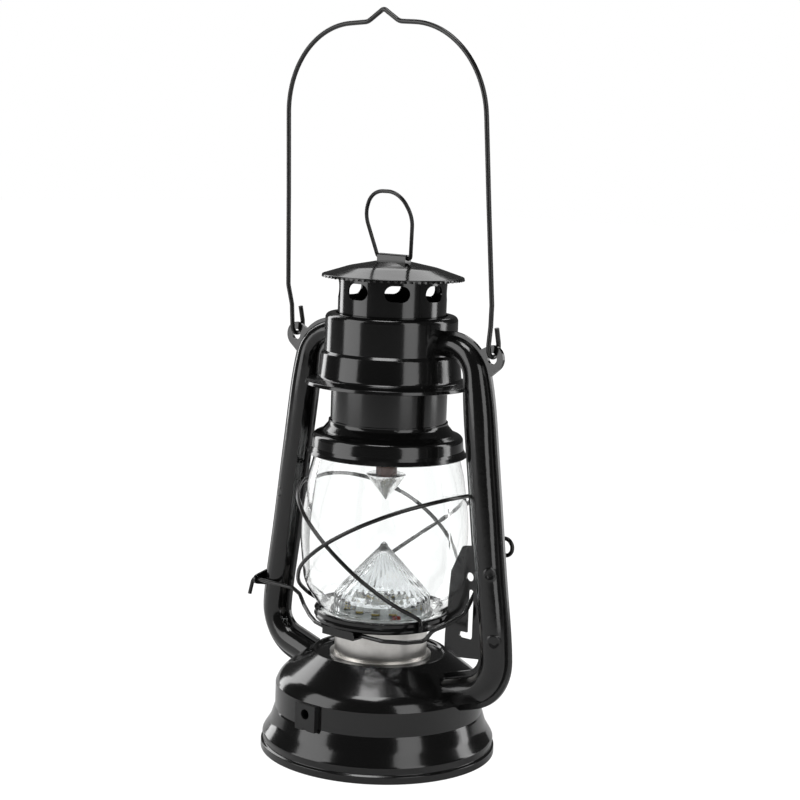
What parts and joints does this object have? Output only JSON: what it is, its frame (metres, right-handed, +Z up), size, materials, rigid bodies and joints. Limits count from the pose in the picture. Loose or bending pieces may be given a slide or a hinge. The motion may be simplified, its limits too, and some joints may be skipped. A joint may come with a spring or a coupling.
{
  "type": "barn lantern",
  "caption": "Hurricane-style barn lantern: spun steel base, side tubes, glass globe on a lifting plate, sliding chimney, lift lever and wire bail.",
  "frame": {"origin": "centre of the base's flat bottom", "axes": "+Z up; +X towards the side with the lever's slotted bracket; -Y towards the front, where the charging socket is"},
  "size_m": [0.1649, 0.117, 0.3632],
  "materials": {
    "black_enamel": "gloss black enamel",
    "dark_wire": "satin dark grey coated wire",
    "black_plastic": "satin black moulding",
    "grey_plastic": "plain grey moulding",
    "zinc_steel": "zinc plated",
    "cell_wrap": "printed-free green sleeve on a metal can",
    "contact_brass": "plain",
    "circuit_board": "solder mask",
    "lead_sleeve": "matte sleeve",
    "brushed_nickel": "brushed round the ring",
    "led_clear": "clear epoxy",
    "lens_clear": "clear fluted acrylic",
    "bright_foil": "bright metallised plastic",
    "stem_copper": "dark brown lacquer",
    "globe_glass": "clear blown glass"
  },
  "bodies": {
    "root": {"base_shell": "black_enamel", "bottom_cover": "black_plastic", "cover_screws": "zinc_steel", "inner_chassis": "grey_plastic", "battery_holder": "grey_plastic", "battery_cells": "cell_wrap", "battery_contacts": "contact_brass", "control_board": "circuit_board", "led_wires": "lead_sleeve", "charging_jack": "black_plastic", "switch_housing": "black_plastic", "collar_ring": "brushed_nickel", "led_board": "circuit_board", "leds": "led_clear", "lens_cone": "lens_clear", "right_tube_front": "black_enamel", "right_tube_back": "black_enamel", "left_tube_front": "black_enamel", "left_tube_back": "black_enamel", "lever_bracket": "black_enamel", "lever_lug": "black_enamel", "canopy": "black_enamel", "return_spring": "zinc_steel"},
    "globe": {"globe_plate": "black_enamel", "wire_strap": "black_enamel", "reflector_tray": "bright_foil", "globe_glass": "globe_glass", "guard_hoop_right": "dark_wire", "guard_hoop_left": "dark_wire"},
    "chimney": {"chimney_tube": "black_enamel", "spring_seat": "zinc_steel", "bell": "black_enamel", "deflector_plate": "zinc_steel", "reflector_stem": "stem_copper", "reflector_cone": "bright_foil", "cap": "black_enamel", "ring_saddle": "black_enamel"},
    "ring": {"lift_ring": "dark_wire"},
    "lever": {"lift_lever": "dark_wire"},
    "bail": {"bail_handle": "dark_wire"},
    "button": {"switch_button": "black_plastic"}
  },
  "joints": [
    {"name": "globe_lift", "type": "slide", "parent": "root", "child": "globe", "axis": [0, 0, 1], "range_m": [0, 0.009]},
    {"name": "chimney_lift", "type": "slide", "parent": "globe", "child": "chimney", "axis": [0, 0, 1], "range_m": [0, 0.01], "deforming": ["return_spring"]},
    {"name": "ring_fold", "type": "hinge", "parent": "chimney", "child": "ring", "pos_m": [0, 0, 0.245], "axis": [1, 0, 0], "range_deg": [-104, 76]},
    {"name": "lever_turn", "type": "hinge", "parent": "root", "child": "lever", "pos_m": [0, -0.0085, 0.0725], "axis": [-1, 0, 0], "range_deg": [0, 25.8]},
    {"name": "bail_swing", "type": "hinge", "parent": "root", "child": "bail", "pos_m": [0, 0, 0.2065], "axis": [1, 0, 0], "range_deg": [-115, 105]},
    {"name": "button_press", "type": "slide", "parent": "root", "child": "button", "axis": [0, -1, 0], "range_m": [0, 0.0015], "stiffness_N_per_m": 400}
  ],
  "couplings": [
    {"joint": "lever_turn", "follows": "globe_lift", "rad_per_m": 49.609}
  ]
}
